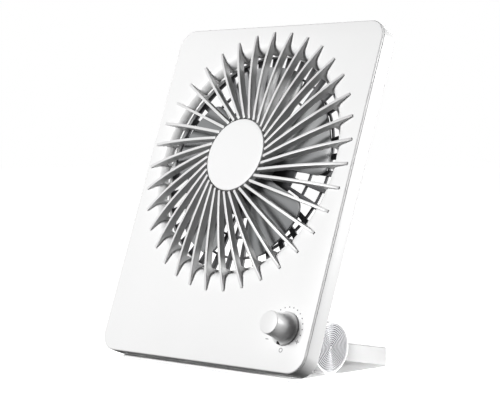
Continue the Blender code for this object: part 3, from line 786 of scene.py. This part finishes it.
def hub_badge():
    """The plain disc on the hub, with a soft rim and a face that is very slightly crowned."""
    flat = badge_radius - badge_round
    face = [
        (r, badge_face - badge_crown * (r / badge_radius) ** 2) for r in spread(core, flat, 8)
    ]
    rim = round_rim(badge_radius, badge_face - badge_crown, badge_round)[1:]
    back = [(badge_radius, badge_back), (core, badge_back)]
    badge = turned("plain_badge", face + rim + back)
    finished(carried(badge, fan_place), white_abs, "slab", ["hub_badge"])


# Rear grille ---------------------------------------------------------------------------------


def rear_grille():
    """Three rings of slots between radial ribs, a plain middle and the lip that holds it in."""
    middle = turned(
        "grille_middle",
        [
            (core, -slab_depth), (grille_middle - middle_back_round, -slab_depth),
            (grille_middle, -slab_depth + middle_back_round),
            (grille_middle, grille_inside - middle_face_round),
            (grille_middle - middle_face_round, grille_inside), (core, grille_inside),
        ],
    )
    rings = []
    soft = slot_ring_round
    for inner, outer in grille_rings:
        rings.append(
            turned(
                "grille_ring",
                [
                    (outer, -slab_depth + soft), (outer, grille_inside - soft),
                    (outer - soft, grille_inside), (inner + soft, grille_inside),
                    (inner, grille_inside - soft), (inner, -slab_depth + soft),
                    (inner + soft, -slab_depth), (outer - soft, -slab_depth),
                ],
                fine_steps,
                ring=True,
            )
        )
    # The wall that stands up into the throat takes the same painted-shade grey.
    wall_inside = grille_radius - flange_wall_inset
    wall_outside, wall_top = wall_inside + grille_wall, -throat_depth - fit
    flange_side, flange_bottom = grille_radius - flange_inset, grille_inside - flange_foot
    flange = turned(
        "grille_flange",
        [
            (flange_side, flange_bottom), (flange_side, flange_low), (grille_lip, flange_low),
            (grille_lip, flange_high), (wall_outside, flange_high), (wall_outside, wall_top),
            (wall_inside, wall_top), (wall_inside, flange_bottom),
        ],
        fine_steps,
        ring=True,
    )
    rib = brick(
        "grille_rib",
        (grille_middle - rib_start_overlap, -1, -slab_depth + rib_recess),
        (rib_end, 1, grille_inside - rib_recess),
    )
    for point in rib.data.vertices:
        half = point.co.x * tan(pi / slot_columns - slot_half_angle)
        point.co.y = half if point.co.y > 0 else -half
    soften(rib, rib_edge_round)
    turns = [slot_turn + 2 * pi * (i + 0.5) / slot_columns for i in range(slot_columns)]
    ribs = repeated(rib, turns)
    bpy.data.objects.remove(rib, do_unlink=True)
    grille = joined(middle, rings + [flange] + ribs)
    grille.name = grille.data.name = "rear_grille_fine"
    # The rear grille's darker grey is painted shade.
    return finished(carried(grille, fan_place), rear_grille_painted_shade, "slab", ["rear_grille"])


# Impeller ------------------------------------------------------------------------------------


def blade():
    """A grid primitive drawn out into one pitched, cambered blade with round outer corners."""
    fresh()
    bpy.ops.mesh.primitive_grid_add(x_subdivisions=28, y_subdivisions=24, size=2)
    piece = named("blade")
    start = hub_radius - hub_wall / 2
    for point in piece.data.vertices:
        out = sin(pi / 2 * (point.co.x + 1) / 2)
        across = point.co.y
        radius = start + (blade_tip - start) * out
        corner = 1 - blade_corner_share * out**blade_corner_power
        half = blade_half_angle * corner * (blade_root_share + (1 - blade_root_share) * out)
        angle = blade_phase + half * across
        pitch = blade_rise * across * (1 + blade_twist - blade_twist * out)
        rise = pitch + blade_camber * (1 - across**2)
        point.co = (radius * cos(angle), radius * sin(angle), blade_middle + rise)
    take(piece)
    thicken = piece.modifiers.new("Thickness", "SOLIDIFY")
    thicken.thickness = blade_thickness
    thicken.offset = 0
    bpy.ops.object.modifier_apply(modifier=thicken.name)
    soften(piece, blade_edge_round, 2, 60)
    return piece


def impeller():
    """Hub cup and blades."""
    first = blade()
    blades = repeated(first, [2 * pi * i / blade_count for i in range(blade_count)])
    bpy.data.objects.remove(first, do_unlink=True)
    inside, roof = hub_radius - hub_wall, hub_top - hub_wall
    boss_low, bore_top = roof - boss_length, hub_top - bore_roof
    below = [
        (hub_radius, hub_rear), (inside, hub_rear), (inside, roof), (boss_radius, roof),
        (boss_radius, boss_low), (bore_radius, boss_low), (bore_radius, bore_top), (core, bore_top),
    ]
    shoulder = round_rim(hub_radius, hub_top, hub_round)
    hub = turned("hub", [(core, hub_top)] + shoulder + below, 64)
    rotor = joined(hub, blades)
    rotor.name = rotor.data.name = "impeller_fine"
    # The blades' mid grey is painted shade.
    finished(carried(rotor, fan_place), blade_painted_shade, "rotor", ["impeller"])


# Knob and printed marks ----------------------------------------------------------------------


def control_knob():
    """Straight-sided cap on a flared skirt, hollow below for its shaft."""
    waist = knob_radius + knob_foot_swell
    edge = round_rim(knob_radius, knob_face, knob_edge_round)
    side = [(knob_radius + knob_side_swell, knob_side_middle), (waist, sweep_start)]
    sweep = [
        (waist + sweep_out * (1 - cos(a)), sweep_start - sweep_down * sin(a))
        for a in spread(0, sweep_turn, 9)[1:]
    ]
    roof = knob_face - knob_roof
    below = [
        (knob_skirt - skirt_inset, skirt_shoulder), (knob_skirt, skirt_edge),
        (knob_skirt, knob_lift), (knob_bore, knob_lift), (knob_bore, roof), (core, roof),
    ]
    knob = turned("knob_cap", [(core, knob_face)] + edge + side + sweep + below)
    finished(carried(knob, knob_place), knob_abs, "knob", ["control_knob"], 40)


def pointer():
    """The dark wedge let into the knob's skirt, which points at the marks."""
    wedge = brick(
        "knob_pointer",
        (-pointer_half_width, -pointer_outer, 0),
        (pointer_half_width, -pointer_inner, 1),
    )
    middle = -(pointer_outer + pointer_inner) / 2
    for point in wedge.data.vertices:
        inner = point.co.y > middle
        point.co.z = (pointer_high if point.co.z > 0.5 else pointer_low)[inner]
        point.co.x *= pointer_narrowing if inner else 1
    soften(wedge, pointer_edge_round)
    place = knob_place @ Matrix.Rotation(pointer_turn, 4, "Z")
    finished(carried(wedge, place), pointer_ink, "knob")


def printed(name, *pieces):
    """One printed mark of one or more pieces."""
    mark = joined(pieces[0], pieces[1:])
    mark.name = mark.data.name = name
    finished(carried(mark, knob_place), printed_ink, "slab")


def around(angle, radius):
    """A point round the knob."""
    return radius * cos(angle), radius * sin(angle)


def bar(length, centre, turn=0.0):
    """A printed stroke."""
    half, half_width = length / 2, mark_width / 2
    piece = brick("bar", (-half, -half_width, 0), (half, half_width, mark_height))
    soften(piece, mark_edge_round)
    return carried(piece, Matrix.Translation((*centre, mark_lift)) @ Matrix.Rotation(turn, 4, "Z"))


def dial_marks():
    """Ten dots, an off mark and plus and minus signs, printed on the panel round the knob."""
    dots = []
    for i in range(dot_count):
        centre = around(dot_first + dot_pitch * i, dot_circle)
        dots.append(rod(f"dot_{i}", dot_radius, mark_lift, mark_height, centre, 16))
    printed("dial_dots", *dots)
    ring = turned(
        "off_ring",
        [
            (off_outer, mark_lift), (off_outer, mark_height),
            (off_inner, mark_height), (off_inner, mark_lift),
        ],
        40,
        ring=True,
    )
    off = around(off_angle, off_circle)
    printed("dial_off", carried(ring, Matrix.Translation((*off, 0))))
    plus = around(plus_angle, plus_circle)
    printed("dial_plus", bar(plus_length, plus), bar(plus_length, plus, pi / 2))
    printed("dial_minus", bar(minus_length, around(minus_angle, minus_circle)))


# Hinge and foot ------------------------------------------------------------------------------


def battery_barrel():
    """The tube that holds the cell, with the neck that carries the slab."""
    soft = barrel_end_round
    tube = turned(
        "barrel_tube",
        [
            (barrel_radius, soft - barrel_half), (barrel_radius, barrel_half - soft),
            (barrel_radius - soft, barrel_half), (barrel_bore, barrel_half),
            (barrel_bore, -barrel_half), (barrel_radius - soft, -barrel_half),
        ],
        fine_steps,
        ring=True,
    )
    carried(carried(tube, hinge_place), slab_place.inverted())
    local = slab_place.inverted() @ hinge
    neck = brick(
        "barrel_neck",
        (-neck_half_width, slab_depth + fit, local.z - neck_below),
        (neck_half_width, local.y, local.z + neck_above),
    )
    hollow = rod(
        "neck_hollow", barrel_bore + neck_hollow_gap, -neck_hollow_half, neck_hollow_half, steps=96
    )
    carried(carried(hollow, hinge_place), slab_place.inverted())
    round_edges(
        neck, neck_round, 5, lambda a, b: along(0)(a, b) and min(a.y, b.y) < neck_round_depth
    )
    combine(neck, "DIFFERENCE", hollow)
    soften(neck, neck_edge_round)
    barrel = joined(tube, [neck])
    barrel.name = barrel.data.name = "battery_barrel_fine"
    carried(barrel, slab_place)
    return finished(barrel, white_abs, "slab", ["battery_barrel"])


def end_cap(side, sign):
    """A disc turned with fine concentric rings."""
    pitch = (cap_radius - cap_middle) / cap_ring_count
    groove_floor = cap_face - cap_groove
    face = [(core, cap_face), (cap_middle, cap_face)]
    for i in range(cap_ring_count):
        r = cap_middle + pitch * i
        face += [
            (r + groove_start * pitch, groove_floor), (r + groove_end * pitch, groove_floor),
            (r + groove_top * pitch, cap_face), (r + pitch, cap_face),
        ]
    back = cap_face - cap_thickness
    profile = face + [(cap_radius, cap_face), (cap_radius, back), (core, back)]
    cap = turned(f"ringed_cap_{side}", profile)
    if sign < 0:
        carried(cap, Matrix.Rotation(pi, 4, "X"))
    carried(cap, hinge_place)
    finished(cap, turned_aluminium, "foot", [f"end_cap_{side}"], 25)


def foot():
    """The floor plate, folded up into a lip at the back, with a knuckle at each end."""
    half = foot_width / 2
    front, rear = hinge.y - foot_front, hinge.y + foot_rear
    top = foot_bottom + foot_thickness
    plate = brick("foot_fine", (-half, front, foot_bottom), (half, rear, top))
    round_edges(plate, foot_corner, 10, along(2))
    bpy.ops.object.mode_set(mode="EDIT")
    bpy.ops.mesh.select_all(action="SELECT")
    fold = rear - lip_thickness
    bpy.ops.mesh.bisect(plane_co=(0, fold, 0), plane_no=(0, 1, 0))
    bpy.ops.mesh.select_mode(type="FACE")
    bpy.ops.mesh.select_all(action="DESELECT")
    bpy.ops.object.mode_set(mode="OBJECT")
    for face in plate.data.polygons:
        face.select = face.normal.z > 0.9 and face.center.y > fold
    bpy.ops.object.mode_set(mode="EDIT")
    bpy.ops.mesh.extrude_region_move(TRANSFORM_OT_translate={"value": (0, 0, lip_height - top)})
    bpy.ops.object.mode_set(mode="OBJECT")
    soften(plate, foot_edge_round, 3, 50)
    low, high = knuckle_start, hinge_end
    web = low + knuckle_web
    inner = hinge_radius - knuckle_wall
    pieces = []
    for sign in (1, -1):
        knuckle = turned(
            "knuckle",
            [
                (hinge_radius - knuckle_inner_round, low),
                (hinge_radius, low + knuckle_inner_round),
                (hinge_radius, high - knuckle_outer_round),
                (hinge_radius - knuckle_outer_round, high), (inner + knuckle_rim_round, high),
                (inner, high - knuckle_rim_round), (inner, web), (pin_bore, web), (pin_bore, low),
            ],
            fine_steps,
            ring=True,
        )
        if sign < 0:
            carried(knuckle, Matrix.Rotation(pi, 4, "X"))
        pieces.append(carried(knuckle, hinge_place))
        ends = sorted((sign * (low + saddle_inset), sign * (high - saddle_inset)))
        saddle = brick(
            "saddle",
            (ends[0], hinge.y - saddle_width / 2, foot_bottom + foot_thickness / 2),
            (ends[1], hinge.y + saddle_width / 2, hinge.z - hinge_radius * saddle_top),
        )
        soften(saddle, saddle_edge_round)
        pieces.append(saddle)
    return finished(joined(plate, pieces), powder_coat, "foot", ["foot_plate"])


def carried_over():
    """Finishes of the CAD nodes that stay as they are."""
    looks = {
        zinc_steel: (
            "motor_shaft", "motor_mount", "control_shaft", "charging_socket",
            "hinge_pin_left", "hinge_pin_right", "cell_contact_left", "cell_contact_right",
            *(f"motor_screw_{i}" for i in range(1, 4)),
            *(f"casing_screw_{i}" for i in range(1, 5)),
            *(f"barrel_screw_{i}" for i in range(1, 3)),
        ),
        sintered_brass: (
            "motor_bearing_front", "motor_bearing_rear",
            "friction_washer_left", "friction_washer_right",
        ),
        silicone: tuple(f"foot_pad_{i}" for i in range(1, 5)),
        copper_winding: ("motor_stator",),
        ferrite: ("magnet_ring", "speed_control"),
        acetal: ("hinge_bush_left", "hinge_bush_right"),
        circuit_board: ("control_board",),
        shrink_wrap: ("battery_cell",),
        frosted_lens: ("status_lens",),
    }
    for look, nodes in looks.items():
        for node in nodes:
            frame["nodes"][node].data.materials.clear()
            frame["nodes"][node].data.materials.append(look)


# Studio --------------------------------------------------------------------------------------


def aimed(location, target):
    """The turn that points a light or a camera at a target."""
    return (Vector(target) - Vector(location)).to_track_quat("-Z", "Y").to_euler()


def soft_box(name, location, target, size, power, only=()):
    """A square light. Where pieces are named, it lights them alone."""
    light = bpy.data.lights.new(name, "AREA")
    light.shape = "SQUARE"
    light.size = size
    light.energy = power
    holder = bpy.data.objects.new(name, light)
    holder.location = location
    holder.rotation_euler = aimed(location, target)
    bpy.context.scene.collection.objects.link(holder)
    if only:
        lit = bpy.data.collections.new(f"{name} reaches")
        for piece in only:
            lit.objects.link(piece)
        holder.light_linking.receiver_collection = lit


def for_camera_alone(tree, seen, unseen):
    """One shader for what the camera sees directly and another for the light it gives."""
    ray = add_node(tree, "ShaderNodeLightPath").outputs["Is Camera Ray"]
    return add_node(tree, "ShaderNodeMixShader", inputs={0: ray, 1: unseen, 2: seen}).outputs[0]


def studio():
    """A pale floor, a white surround, a key light in front and a rim light at the right."""
    fresh()
    bpy.ops.mesh.primitive_plane_add(size=floor_size, location=(0, 0, -floor_drop))
    floor = named("floor")
    made, tree, shader, _ = surface("Pale floor", "F4F4F4", 0.8)
    pure_white = linear("FFFFFF")
    glow = add_node(
        tree, "ShaderNodeEmission", inputs={"Color": pure_white, "Strength": floor_glow}
    )
    lit = add_node(tree, "ShaderNodeAddShader", inputs={0: shader.outputs[0], 1: glow.outputs[0]})
    dull = add_node(tree, "ShaderNodeBsdfDiffuse", inputs={"Color": linear("6A6A6A")})
    seen = for_camera_alone(tree, lit.outputs[0], dull.outputs[0])
    tree.links.new(seen, tree.nodes["Material Output"].inputs["Surface"])
    floor.data.materials.append(made)
    world = bpy.data.worlds.new("Studio surround")
    bpy.context.scene.world = world
    world.use_nodes = True
    tree = world.node_tree
    dim = tree.nodes["Background"]
    dim.inputs["Color"].default_value = pure_white
    dim.inputs["Strength"].default_value = surround_light
    white = add_node(
        tree, "ShaderNodeBackground", inputs={"Color": pure_white, "Strength": 1.0}
    )
    seen = for_camera_alone(tree, white.outputs[0], dim.outputs[0])
    tree.links.new(seen, tree.nodes["World Output"].inputs["Surface"])
    centre = (0, 0, light_target_height)
    soft_box("key", key_place, centre, key_size, key_power)
    soft_box("rim", rim_place, centre, rim_size, rim_power)
    bpy.context.scene.view_settings.view_transform = "Standard"
    bpy.context.scene.view_settings.gamma = middle_tones


def camera():
    """A long lens, a little right of the slab's corner and almost level."""
    azimuth, elevation = camera_azimuth, camera_elevation
    target = slab_corner_point + Vector(camera_target)
    away = Vector(
        (cos(elevation) * sin(azimuth), -cos(elevation) * cos(azimuth), sin(elevation))
    )
    lens = bpy.data.cameras.new("camera")
    lens.lens = camera_lens
    lens.sensor_width = camera_sensor
    lens.clip_start = camera_nearest
    holder = bpy.data.objects.new("camera", lens)
    holder.location = target + away * camera_distance
    holder.rotation_euler = aimed(holder.location, target)
    bpy.context.scene.collection.objects.link(holder)
    bpy.context.scene.camera = holder


# Build ---------------------------------------------------------------------------------------

fan_frame = slab_place.inverted() @ fan_place
knob_frame = slab_place.inverted() @ knob_place

camera()
studio()
front_cover()
casing = rear_casing()
spiral_grille()
hub_badge()
back_grille = rear_grille()
impeller()
control_knob()
pointer()
dial_marks()
barrel = battery_barrel()
end_cap("right", 1)
end_cap("left", -1)
plate = foot()
carried_over()
# Two weak lights reach only what the key leaves dark: the foot, and the slab's back.
soft_box("foot light", foot_light_place, hinge, foot_light_size, foot_light_power, [plate])
soft_box(
    "back light",
    back_light_place,
    fan_centre,
    back_light_size,
    back_light_power,
    [casing, back_grille, barrel],
)
